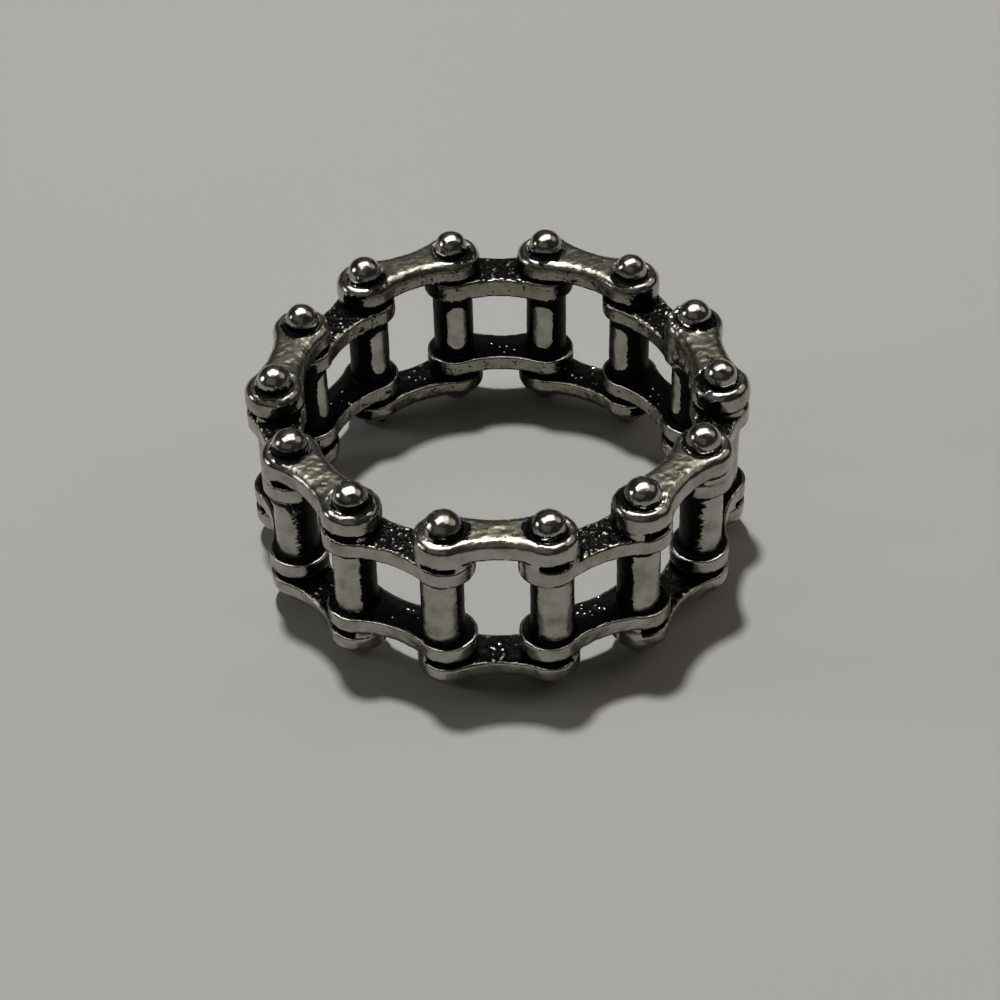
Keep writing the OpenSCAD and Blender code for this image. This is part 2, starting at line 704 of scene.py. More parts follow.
@dataclass(frozen=True)
class CastingFlaws:
    """The places where the metal ran wrong in the mould.

    Attributes:
        sizes: The ring's sizes.
        overlap: How far the metal in a slot runs into what it closes up with.
        thicker_back: How much thicker the upper inner plate at the back is.
        thicker_left: How much thicker the front link's upper plate is at its left end.
    """

    sizes: RingSizes
    overlap: float = 0.1
    thicker_back: float = 0.2
    thicker_left: float = 0.17

    def build(self, number: int, inner: bpy.types.Object) -> list[bpy.types.Object]:
        """Models the flaws of one link.

        Args:
            number: Number of the outer link, counted from the front.
            inner: The inner plate at the front of the ring.

        Returns:
            Closed shapes that are fused with the link.
        """
        makers = {
            FlawedLink.FRONT.value: self._lens_slots,
            FlawedLink.RIGHT_OF_FRONT.value: self._closed_slots,
            FlawedLink.FAR_RIGHT.value: self._lumped_pins,
            FlawedLink.LEFT.value: self._flush_pin,
        }
        made = makers[number]() if number in makers else []
        if number == FlawedLink.BACK.value:
            made.append(self._thickening(inner, 2 * number + 1))
        return made + self._choked_slots(number) + self._nodules(number)

    def _thickening(self, inner: bpy.types.Object, turn: int) -> bpy.types.Object:
        """Models what makes the upper inner plate at the back thicker than the others.

        Args:
            inner: The inner plate at the front of the ring.
            turn: The plate's turn, counted in pins from the front.

        Returns:
            A second plate that stands out over the first.
        """
        Bench.copy(inner, turn * self.sizes.pin_angle)
        bpy.ops.transform.translate(value=(0, 0, self.thicker_back))
        return Bench.settle()

    def _sector(self, shape: bpy.types.Object, turn: float, start: float, end: float) -> bpy.types.Object:
        """Keeps a sector of a round shape that stands on a pin.

        Args:
            shape: The round shape.
            turn: The pin's turn, counted in pins from the front.
            start: Where the sector starts in degrees, 0 facing out and + towards the next pin.
            end: Where it ends, less than half a turn on.

        Returns:
            The shape that is left.
        """
        place = (*self.sizes.pin_place(turn), 0)
        facing_out = turn * self.sizes.pin_angle - math.pi / 2
        first = facing_out + math.radians(start)
        last = facing_out + math.radians(end)
        Bench.cut_off(shape, place, (math.sin(first), -math.cos(first), 0))
        Bench.cut_off(shape, place, (-math.sin(last), math.cos(last), 0))
        return shape

    def _closed(
        self, turn: float, start: float, end: float, reach: float, side: Side = Side.UPPER
    ) -> bpy.types.Object:
        """Models metal that closed part of the slot round a pin.

        Args:
            turn: The pin's turn, counted in pins from the front.
            start: Where it starts in degrees, 0 facing out.
            end: Where it ends.
            reach: Its radius about the pin.
            side: The upper or the lower slot.

        Returns:
            The piece of metal.
        """
        sizes = self.sizes
        low, high = sizes.inner_face_z - self.overlap, sizes.outer_plate_z + self.overlap
        if side is Side.LOWER:
            low, high = -high, -low
        metal = Bench.cylinder(reach, low, high, *sizes.pin_place(turn))
        return self._sector(metal, turn, start, end)

    def _choked_slots(self, number: int) -> list[bpy.types.Object]:
        """Models the metal deep in the slots, where the inner plates run on to the next pin.

        Args:
            number: Number of the outer link.

        Returns:
            The pieces of metal in the slots of its two pins, above and below.
        """
        chance = random.Random(30 + number)
        shapes = []
        for side in Side:
            for way in (-1, 1):
                start, end = way * chance.uniform(34, 55), way * 125
                reach = self.sizes.plate_end_r - chance.uniform(0.02, 0.12)
                turn = 2 * number + way * 0.5
                shapes.append(self._closed(turn, min(start, end), max(start, end), reach, side))
        return shapes

    def _open_lens(
        self, wall: bpy.types.Object, turn: float, way: float, level: float, size: Sequence[float]
    ) -> bpy.types.Object:
        """Cuts the lens that stayed open out of the metal that closed a slot.

        Args:
            wall: The metal that closed the slot.
            turn: The pin's turn, counted in pins from the front.
            way: The way that the lens faces in degrees, 0 facing out.
            level: Height of its middle over the middle of the ring.
            size: Its radii along X, Y and Z.

        Returns:
            The metal that is left.
        """
        x, y = self.sizes.pin_place(turn)
        angle = turn * self.sizes.pin_angle - math.pi / 2 + math.radians(way)
        reach = self.sizes.plate_end_r
        place = (x + reach * math.cos(angle), y + reach * math.sin(angle), level)
        Bench.work(wall, Bench.ball(1, place, size), Join.CUT)
        return wall

    def _lens_slots(self) -> list[bpy.types.Object]:
        """Models the front link's slots, closed but for a lens, and its thicker left end.

        Returns:
            The metal in the slots and under the left end.
        """
        sizes = self.sizes
        left = self._closed(-0.5, -88, 88, sizes.plate_end_r)
        right = self._closed(0.5, -88, 88, sizes.plate_end_r)
        low, high = sizes.outer_plate_z - self.thicker_left, sizes.outer_plate_z + self.overlap
        return [
            self._open_lens(left, -0.5, 0, sizes.inner_face_z + 0.13, (0.95, 0.95, 0.2)),
            self._open_lens(right, 0.5, 4, sizes.inner_face_z + 0.22, (0.95, 0.95, 0.25)),
            Bench.cylinder(sizes.plate_end_r, low, high, *sizes.pin_place(-0.5)),
        ]

    def _closed_slots(self) -> list[bpy.types.Object]:
        """Models the slots that closed at the pins on the right of the front link.

        Returns:
            The metal in the two slots.
        """
        return [
            self._closed(1.5, 26, 110, self.sizes.plate_end_r - 0.02),
            self._closed(2.5, -65, 60, self.sizes.plate_end_r - 0.08),
        ]

    def _flush_pin(self) -> list[bpy.types.Object]:
        """Models the pin where plates and roller ran together into one wall, with a lens left open.

        Returns:
            The wall over the slot and its foot, which widens the roller up to the plate.
        """
        sizes = self.sizes
        turn = 11.5
        reach = sizes.plate_end_r
        x, y = sizes.pin_place(turn)
        wall = self._closed(turn, -75, 95, reach)
        wall = self._open_lens(wall, turn, 56, sizes.inner_face_z + 0.22, (0.85, 0.85, 0.26))
        foot_low = 0.9
        foot = Bench.cone(sizes.roller_r, reach, foot_low, sizes.inner_plate_z + self.overlap, x, y)
        return [wall, self._sector(foot, turn, -95, 62)]

    def _lumped_pins(self) -> list[bpy.types.Object]:
        """Models the lumps round the pins on the far right, most of them towards the finger.

        Returns:
            The metal in the slots, small lumps round both heads and large ones on the inner walls.
        """
        sizes = self.sizes
        chance = random.Random(12)
        shapes = [self._closed(3.5, 100, 200, 1.3), self._closed(4.5, 110, 235, 1.52)]
        lumps_a_head, on_the_plate = 8, 4.5
        for turn in (4.5, 3.5):
            x, y = sizes.pin_place(turn)
            for _ in range(lumps_a_head):
                angle = turn * sizes.pin_angle + math.pi / 2 + chance.uniform(-1.6, 1.6)
                reach = chance.uniform(1.05, 1.3)
                place = (x + reach * math.cos(angle), y + reach * math.sin(angle), on_the_plate)
                shapes.append(Bench.ball(chance.uniform(0.1, 0.17), place))
        clear_of_hole, upright = 0.02, (1, 1, 1.7)
        for turn, level, radius in ((4.0, 3.5, 0.45), (4.2, 3.3, 0.5), (4.38, 3.0, 0.42), (3.75, 3.3, 0.4)):
            x, y = sizes.place(turn, sizes.hole_r + radius + clear_of_hole)
            shapes.append(Bench.ball(radius, (x, y, level), upright))
        return shapes

    def _nodules(self, number: int) -> list[bpy.types.Object]:
        """Models the small lumps on the waists of the plates, where no tool reached them.

        Args:
            number: Number of the outer link.

        Returns:
            The lumps on its plates and on those of the inner link on from it.
        """
        sizes = self.sizes
        chance = random.Random(70 + number)
        waists = [(2 * number + 1, side.value * sizes.inner_face_z, 1) for side in Side]
        waists += [(2 * number, side.value * sizes.outer_plate_z, -1) for side in Side]
        between_rollers = -sizes.inner_plate_z
        waists.append((2 * number + 1, between_rollers, -1))
        front, left = FlawedLink.FRONT.value, FlawedLink.LEFT.value
        clump = (front, -sizes.outer_plate_z)
        grainy = {(left, sizes.inner_face_z): 26, clump: 16, (front, between_rollers): 14}
        shapes = []
        for turn, face, facing in waists:
            for _ in range(grainy.get((number, face), chance.randint(3, 9))):
                along = chance.triangular(-0.9, 0.9, chance.choice((-0.8, 0.0, 0.8)))
                radius = chance.uniform(0.09, 0.15)
                if (number, face) == clump:
                    along, radius = 0.45 * along, 1.5 * radius
                aside = chance.uniform(-0.4, 0.9)
                out = sizes.link_r + (-aside if face == between_rollers else aside)
                x, y = sizes.place(turn, out, along)
                sunk = 0.4 * radius
                level = face - math.copysign(sunk, face * facing)
                shapes.append(Bench.ball(radius, (x, y, level)))
        return shapes


@dataclass(frozen=True)
class CastLink:
    """One outer link with its two pins and the inner link on from it, fused as cast.

    Attributes:
        sizes: The ring's sizes.
        number: Number of the outer link, counted from the front.
        voxel: Fineness of the fused skin in millimetres.
        grains: Size and depth of the bumps that the mould left, in millimetres, and the group of
            corners that has them, or none for all corners.
        play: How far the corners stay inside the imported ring's size.
    """

    sizes: RingSizes
    number: int
    voxel: float = 0.076
    grains: tuple[tuple[float, float, str], ...] = (
        (1.8, 0.06, ""), (0.5, 0.035, ""), (0.4, 0.09, "mopped_rims"), (0.28, 0.13, "left_as_cast"),
    )
    play: float = 0.0002

    def build(self, outer: bpy.types.Object, inner: bpy.types.Object) -> bpy.types.Object:
        """Fuses the link and gives it its cast skin.

        Args:
            outer: The outer plate at the front of the ring, which is copied.
            inner: The inner plate at the front of the ring, which is copied.

        Returns:
            The fused link in millimetres.
        """
        sizes = self.sizes
        turn = 2 * self.number * sizes.pin_angle
        chance = random.Random(self.number + 1)
        shapes = []
        for side in Side:
            shapes.append(Bench.copy(outer, turn, side))
            shapes.append(Bench.copy(inner, turn + sizes.pin_angle, side))
        for pin in (2 * self.number - 1, 2 * self.number):
            shapes += PinStack(sizes).build(pin % sizes.pin_count, chance)
        shapes += CastingFlaws(sizes).build(self.number, inner)
        body = Bench.joined(f"chain_link_{self.number + 1}", shapes)
        Bench.modify(body, "REMESH", mode="VOXEL", voxel_size=self.voxel, use_smooth_shade=True)
        Bench.drop_specks(body)
        Bench.modify(body, "SMOOTH", factor=0.5, iterations=2)
        PolishMap(sizes, body).mark_skins()
        for scale, strength, where in self.grains:
            self._roughen(body, scale, strength, where)
        Bench.modify(body, "SMOOTH", factor=0.3, iterations=1)
        self._keep_inside(body)
        return body

    def _keep_inside(self, body: bpy.types.Object) -> None:
        """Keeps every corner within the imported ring's own size.

        Args:
            body: The fused link.
        """
        places = np.empty(len(body.data.vertices) * 3, np.float32)
        body.data.vertices.foreach_get("co", places)
        limit = np.array(self.sizes.half_size, np.float32) - self.play
        places = np.clip(places.reshape(-1, 3), -limit, limit)
        body.data.vertices.foreach_set("co", places.ravel())
        body.data.update()

    def _roughen(self, body: bpy.types.Object, scale: float, strength: float, where: str) -> None:
        """Presses the uneven skin of a casting into the body.

        Args:
            body: The fused link.
            scale: Size of the bumps in millimetres.
            strength: How far they run in and out.
            where: The group of corners that it is pressed into, or none for all of them.
        """
        grain = bpy.data.textures.new("casting_grain", type="CLOUDS")
        grain.noise_scale = scale
        Bench.modify(
            body, "DISPLACE", texture=grain, texture_coords="LOCAL", strength=strength,
            mid_level=0.5, vertex_group=where,
        )


class PolishMap:
    """Works out, corner by corner, where the mop polished the casting, where it stayed black and where shade
    is painted in as black and as dull metal.

    Attributes:
        WIDE_BLACK_WAYS: Side of each rivet head on which the black runs widest, in degrees from facing
            out, + towards the next pin.
        WIDE_STRIPS: Pins whose roller is mopped further round, and the way round.
        LONG_STRIP: Pin whose roller is mopped right round on the side of the finger.
        RIDGE_ROUNDS: How often the skin is evened out to find the rims.
        OPEN_FACE: How bright the mop left the open faces of the outer plates.
        UNMOPPED: How black the faces stayed that it only brushed in passing.
        FROM_INSIDE: How bright it left the walls that face the finger.
        NEAR: How far a plate's map reaches past the plate itself, in millimetres.
        HEAD_GLOSS: Gloss of the rivet heads.
    """

    WIDE_BLACK_WAYS = (-110, -129, 150, 200, -60, 190, 200, 205, 185, 100, 85, 64, 85, 100)
    WIDE_STRIPS = ((2, -1), (11, 1))
    LONG_STRIP = 3
    RIDGE_ROUNDS = 14
    OPEN_FACE = 0.65
    UNMOPPED = -0.5
    FROM_INSIDE = 0.72
    NEAR = 0.12
    HEAD_GLOSS = 0.75

    def __init__(self, sizes: RingSizes, body: bpy.types.Object) -> None:
        """Reads the body's corners and their directions.

        Args:
            sizes: The ring's sizes.
            body: The fused link in millimetres, mid-height at Z 0.
        """
        self.sizes = sizes
        self.body = body
        self.mesh = body.data
        count = len(self.mesh.vertices)
        points = np.empty(count * 3, np.float32)
        self.mesh.vertices.foreach_get("co", points)
        self.points = points.reshape(-1, 3).astype(float)
        normals = np.empty(count * 3, np.float32)
        self.mesh.vertices.foreach_get("normal", normals)
        self.normals = normals.reshape(-1, 3).astype(float)
        edges = np.empty(len(self.mesh.edges) * 2, np.int32)
        self.mesh.edges.foreach_get("vertices", edges)
        self.edges = edges.reshape(-1, 2)
        self.height = np.abs(self.points[:, 2])
        self.facing_up = self.normals[:, 2] * np.sign(self.points[:, 2])
        self._find_pins()

    def _find_pins(self) -> None:
        """Works out each corner's place round its nearest pin."""
        sizes = self.sizes
        x, y = self.points[:, 0], self.points[:, 1]
        angle = np.arctan2(x, -y)
        number = np.floor(angle / sizes.pin_angle)
        pin = (number + 0.5) * sizes.pin_angle
        self.turned = number.astype(int) % sizes.pin_count
        drift = np.array(sizes.roller_drift)[self.turned]
        out = np.stack([np.sin(pin), -np.cos(pin)], 1)
        along = np.stack([np.cos(pin), np.sin(pin)], 1)
        from_pin = self.points[:, :2] - out * sizes.pin_circle_r
        self.from_pin = np.linalg.norm(from_pin, axis=1)
        self.outward = np.einsum("ij,ij->i", from_pin, out)
        across = np.einsum("ij,ij->i", from_pin, along)
        self.across = across - drift
        way = np.radians(self.WIDE_BLACK_WAYS)[self.turned]
        towards = self.outward * np.cos(way) + across * np.sin(way)
        self.towards_wide_black = towards / np.maximum(self.from_pin, 0.1)
        radius = np.maximum(np.hypot(x, y), 1.0)
        self.facing_out = (self.normals[:, 0] * x + self.normals[:, 1] * y) / radius

    def ridge(self, rounds: int) -> np.ndarray:
        """Tells ridges from creases.

        Args:
            rounds: How often the skin is evened out, which sets how wide a ridge may be.

        Returns:
            How far each corner stands over the evened skin, in millimetres.
        """
        count = len(self.points)
        ends_a, ends_b = self.edges[:, 0], self.edges[:, 1]
        neighbours = np.bincount(ends_a, minlength=count) + np.bincount(ends_b, minlength=count)
        even = self.points.copy()
        for _ in range(rounds):
            total = np.empty_like(even)
            for axis in range(3):
                total[:, axis] = np.bincount(ends_a, weights=even[ends_b, axis], minlength=count)
                total[:, axis] += np.bincount(ends_b, weights=even[ends_a, axis], minlength=count)
            even = 0.5 * even + 0.5 * total / neighbours[:, None]
        return np.einsum("ij,ij->i", self.points - even, self.normals)

    @staticmethod
    def within(values: np.ndarray, limit: Any, border: float) -> np.ndarray:
        """Falls past 0 where values pass a limit, by 1 for each width of the border."""
        return (limit - values) / border

    @staticmethod
    def rise(values: np.ndarray, low: float, high: float) -> np.ndarray:
        """Runs smoothly from 0 at low to 1 at high."""
        share = np.clip((values - low) / (high - low), 0, 1)
        return share * share * (3 - 2 * share)

    def mark_skins(self) -> None:
        """Groups the corners of the faces that were left as cast, and those of the mopped rims."""
        ridge = self.ridge(self.RIDGE_ROUNDS)
        rims = self.rise(ridge, 0.012, 0.03) * self.rise(self.facing_up, -0.1, 0.3)
        steps = 4
        for name, weights in (("left_as_cast", self._skin_and_inner_shade()), ("mopped_rims", rims)):
            group = self.body.vertex_groups.new(name=name)
            for step in range(1, steps + 1):
                chosen = np.flatnonzero(np.round(weights * steps) == step)
                group.add(chosen.tolist(), step / steps, "REPLACE")

    def write(self) -> None:
        """Stores the three maps on the mesh: bare metal, gloss and roughness of the cast skin, which also
        carries painted shade on the walls that face the finger.
        """
        ridge = self.ridge(self.RIDGE_ROUNDS)
        bare = self._bare(ridge)
        gloss = self._gloss(ridge)
        cast = self._skin_and_inner_shade()
        for name, values in (("bare", bare), ("gloss", gloss), ("cast_skin_and_inner_shade", cast)):
            layer = self.mesh.attributes.new(name, "FLOAT", "POINT")
            layer.data.foreach_set("value", values.astype(np.float32))
        LOG.info("ridge from %.3f to %.3f mm", ridge.min(), ridge.max())

    def _bare(self, ridge: np.ndarray) -> np.ndarray:
        """Gives bare metal as 1, black as -1, and the ragged border at 0; some of the black is painted shade
        under the upper plates and over the rollers.

        Args:
            ridge: How far each corner stands over the evened skin.

        Returns:
            One value for each corner.
        """
        sizes = self.sizes
        out = self.facing_out
        bare = np.full(len(self.height), -1.0)
        outer, inner = self._is_outer(), self._is_inner()
        # On the upper half, a wall's edge that faces down turns black from a gentler slope than on the lower
        # half: painted shade under the upper plates.
        painted_shade_limit = np.where(self.points[:, 2] > 0, -0.15, -0.45)
        wall = (self.facing_up > painted_shade_limit) & (self.facing_up < 0.75)
        from_inside = self.FROM_INSIDE * self.rise(-out, 0.5, 0.85)
        outer_walls = np.maximum(self.rise(out, -0.15, 0.3), from_inside) * 2 - 1
        inner_walls = np.maximum(self.rise(out, 0.05, 0.5), from_inside) * 2 - 1
        bare = np.where(outer & wall, outer_walls, bare)
        bare = np.where(inner & wall, inner_walls, bare)

        opens = self.facing_up >= 0.6
        clear_of_pins = self.from_pin > sizes.plate_end_r - 0.05
        bare = np.where(outer & opens, self.OPEN_FACE, bare)
        bare = np.where(inner & opens & clear_of_pins, self.UNMOPPED, bare)
        hidden_waist = outer & (self.facing_up < -0.6) & clear_of_pins
        bare = np.where(hidden_waist, self.UNMOPPED, bare)
        bare = np.where(self.height < sizes.inner_plate_z - 0.1, self._roller_strip(), bare)

        ridged = self.rise(ridge, 0.01, 0.03) * 1.7 - 0.8
        # Ridges turn bright all over the lower half, but on the upper half those that face down stay black:
        # painted shade under the upper plates.
        outside_painted_shade = (self.points[:, 2] < 0) | (self.facing_up > -0.15)
        bare = np.where((outer | inner) & outside_painted_shade, np.maximum(bare, ridged), bare)
        return self._round_heads(bare - self.rise(-ridge, 0.012, 0.035) * 1.6)

    def _is_outer(self) -> np.ndarray:
        """Picks the outer plates and what stands on them."""
        return self.height > self.sizes.outer_plate_z - self.NEAR

    def _is_inner(self) -> np.ndarray:
        """Picks the inner plates, clear of the slots as high as the thick one at the back.

        Returns:
            Whether each corner is on one.
        """
        sizes = self.sizes
        thick_face, slot_r = sizes.outer_plate_z - 0.13, 1.3
        face = np.where(self.from_pin > slot_r, thick_face, sizes.inner_face_z + self.NEAR)
        return (self.height > sizes.inner_plate_z - 0.1) & (self.height < face)

    def _roller_strip(self) -> np.ndarray:
        """Gives the strips that the mop left along the rollers, outside and inside the ring; outside, each
        stops short of the upper inner plate to leave a painted shadow line.

        Returns:
            One value for each corner, over 0 on a strip.
        """
        side = np.abs(self.across) / self.sizes.roller_r
        strip_side = self.within(side, 0.81, 0.12)
        for number, way in self.WIDE_STRIPS:
            further = (self.turned == number) & (self.across * way > 0)
            strip_side = np.where(further, self.within(side, 0.98, 0.25) - 0.25, strip_side)
        # Outside, a strip stops short of the upper inner plate, which leaves a painted shadow line under the
        # plate; below, it runs on to the lower plate.
        end_under_painted_shadow, lower_end = 1.66, 1.92
        strip_end = np.where(self.points[:, 2] > 0, end_under_painted_shadow, lower_end)
        front = np.minimum(strip_side, self.within(self.height, strip_end, 0.1))

        straight, round_end = 0.9, 0.5
        past_straight = np.maximum(self.height - straight, 0) / round_end
        half_strip = np.where(self.turned == self.LONG_STRIP, 3.0, 0.5)
        back = self.within(np.hypot(side / half_strip, past_straight), 1, 0.25)
        return np.clip(np.where(self.outward > 0, front, back), -1, 1)

    def _round_heads(self, bare: np.ndarray) -> np.ndarray:
        """Blackens the dish round each rivet head.

        Args:
            bare: The map so far.

        Returns:
            The map with the heads bright and the dishes black.
        """
        sizes = self.sizes
        near_head = (self.from_pin < sizes.dish_mouth_r + 0.7) & (self.facing_up > 0.3)
        near_head |= self.from_pin < sizes.dish_mouth_r
        near_head &= self.height > sizes.outer_face_z - 0.3
        # The black in the dish and at the foot of the head runs wider towards the side given for each head.
        wide_black = self.rise(self.towards_wide_black, 0.1, 0.9)
        reach = sizes.dish_mouth_r - 0.15 + 0.22 * wide_black + 0.12 * self.rise(self.towards_wide_black, 0.75, 1.0)
        dish = np.clip((self.from_pin - reach) / 0.3, -1, self.OPEN_FACE)
        head = np.clip((self.height - sizes.outer_face_z - 0.05 - 0.2 * wide_black) / 0.16, -1, 1)
        return np.where(near_head, np.where(self._on_head(), head, dish), bare)

    def _on_head(self) -> np.ndarray:
        """Picks the rivet heads down to their feet."""
        return (self.from_pin < self.sizes.head_r + 0.02) & (self.height > self.sizes.outer_face_z - 0.3)

    def _gloss(self, ridge: np.ndarray) -> np.ndarray:
        """Gives mirror polish as 1 and satin as 0, brighter where the ridge stands over the skin."""
        worked = 0.4 + 0.6 * self.rise(ridge, 0.006, 0.028)
        return np.where(self._on_head(), self.HEAD_GLOSS, worked)

    def _skin_and_inner_shade(self) -> np.ndarray:
        """Gives the rough skin of the casting as 1 and worked walls as 0, and at least 0.3 as painted shade
        on the walls that face the finger.

        Returns:
            One value for each corner.
        """
        flat = self.rise(self.facing_up, 0.6, 0.95)
        under = self.rise(-self.facing_up, 0.6, 0.95)
        outer_skin = np.maximum(0.45 * flat, 0.8 * under)
        skin = np.where(self._is_inner(), flat, np.where(self._is_outer(), outer_skin, 0))
        skin = np.where(self.points[:, 2] > 0, skin, 0.65 * skin)
        # Walls that face the finger get at least 0.3, which dulls and darkens them: painted shade.
        skin = np.maximum(skin, 0.3 * self.rise(-self.facing_out, 0.4, 0.8))
        return skin * self.rise(self.from_pin, 1.2, 1.5)


class Board:
    """A material's node tree, with short ways to add and link nodes."""

    def __init__(self, name: str) -> None:
        """Starts a material that holds one shader.

        Args:
            name: Name of the material.
        """
        self.material = bpy.data.materials.new(name)
        self.material.use_nodes = True
        self.tree = self.material.node_tree
        self.shader = self.tree.nodes["Principled BSDF"]

    def add(self, kind: str, **settings: Any) -> bpy.types.Node:
        """Adds a node and sets its own values.

        Args:
            kind: The node's type, without the leading ShaderNode.
            **settings: The node's properties.

        Returns:
            The new node.
        """
        node = self.tree.nodes.new("ShaderNode" + kind)
        for setting, value in settings.items():
            setattr(node, setting, value)
        return node

    def link(self, source: bpy.types.NodeSocket, target: Any) -> None:
        """Links an output to an input, or sets the input to a plain value.

        Args:
            source: The output or the value.
            target: The input.
        """
        if isinstance(source, bpy.types.NodeSocket):
            self.tree.links.new(source, target)
        else:
            target.default_value = source

    def millimetres(self, upright: float = 1.0) -> bpy.types.NodeSocket:
        """Gives the place on the object in millimetres.

        Args:
            upright: How many times finer a pattern is upright than across.

        Returns:
            The place.
        """
        place = self.add("TexCoord")
        mapping = self.add("Mapping")
        mapping.inputs["Scale"].default_value = (1 / MM, 1 / MM, upright / MM)
        self.link(place.outputs["Object"], mapping.inputs["Vector"])
        return mapping.outputs["Vector"]

    def noise(
        self, place: Any, scale: float, detail: float = 2.0, roughness: float = 0.5
    ) -> bpy.types.NodeSocket:
        """Adds cloudy noise.

        Args:
            place: The place that it is read at.
            scale: Clouds to a millimetre.
            detail: Number of finer layers.
            roughness: How strong the finer layers are.

        Returns:
            The noise, from 0 to 1.
        """
        node = self.add("TexNoise")
        self.link(place, node.inputs["Vector"])
        node.inputs["Scale"].default_value = scale
        node.inputs["Detail"].default_value = detail
        node.inputs["Roughness"].default_value = roughness
        return node.outputs["Fac"]

    def attribute(self, name: str) -> bpy.types.NodeSocket:
        """Reads one of the maps that the mesh carries."""
        return self.add("Attribute", attribute_name=name).outputs["Fac"]

    def sum(self, operation: str, first: Any, second: Any, clamp: bool = False) -> bpy.types.NodeSocket:
        """Adds a node of plain arithmetic.

        Args:
            operation: The kind of sum.
            first: A value or an output.
            second: A value or an output.
            clamp: Whether the result is kept from 0 to 1.

        Returns:
            The result.
        """
        node = self.add("Math", operation=operation, use_clamp=clamp)
        self.link(first, node.inputs[0])
        self.link(second, node.inputs[1])
        return node.outputs[0]

    def spread(
        self, value: Any, low: float, high: float, to_low: float = 0.0, to_high: float = 1.0
    ) -> bpy.types.NodeSocket:
        """Maps a value smoothly from one span to another.

        Args:
            value: What is mapped.
            low: Start of the span.
            high: End of the span.
            to_low: Result at the start.
            to_high: Result at the end.

        Returns:
            The mapped value.
        """
        node = self.add("MapRange", interpolation_type="SMOOTHSTEP")
        self.link(value, node.inputs["Value"])
        node.inputs["From Min"].default_value = low
        node.inputs["From Max"].default_value = high
        node.inputs["To Min"].default_value = to_low
        node.inputs["To Max"].default_value = to_high
        return node.outputs["Result"]

    def blend(self, share: Any, first: Any, second: Any) -> bpy.types.NodeSocket:
        """Blends two colours.

        Args:
            share: 0 gives the first and 1 the second.
            first: A colour or an output.
            second: A colour or an output.

        Returns:
            The blended colour.
        """
        node = self.add("Mix", data_type="RGBA")
        self.link(share, node.inputs[0])
        self.link(first, node.inputs[6])
        self.link(second, node.inputs[7])
        return node.outputs[2]

    def between(self, share: Any, first: Any, second: Any) -> bpy.types.NodeSocket:
        """Blends two numbers.

        Args:
            share: 0 gives the first and 1 the second.
            first: A number or an output.
            second: A number or an output.

        Returns:
            The blended number.
        """
        node = self.add("Mix", data_type="FLOAT")
        self.link(share, node.inputs[0])
        self.link(first, node.inputs[2])
        self.link(second, node.inputs[3])
        return node.outputs[0]

    def bump(self, height: Any, depth: float, strength: Any = 1.0, below: Any = None) -> bpy.types.NodeSocket:
        """Adds a bump.

        Args:
            height: The height map, from 0 to 1.
            depth: Its depth in millimetres.
            strength: How much of it shows.
            below: A bump that lies under this one.

        Returns:
            The bumped direction of the surface.
        """
        node = self.add("Bump")
        self.link(height, node.inputs["Height"])
        self.link(strength, node.inputs["Strength"])
        node.inputs["Distance"].default_value = depth * MM
        if below is not None:
            self.link(below, node.inputs["Normal"])
        return node.outputs["Normal"]


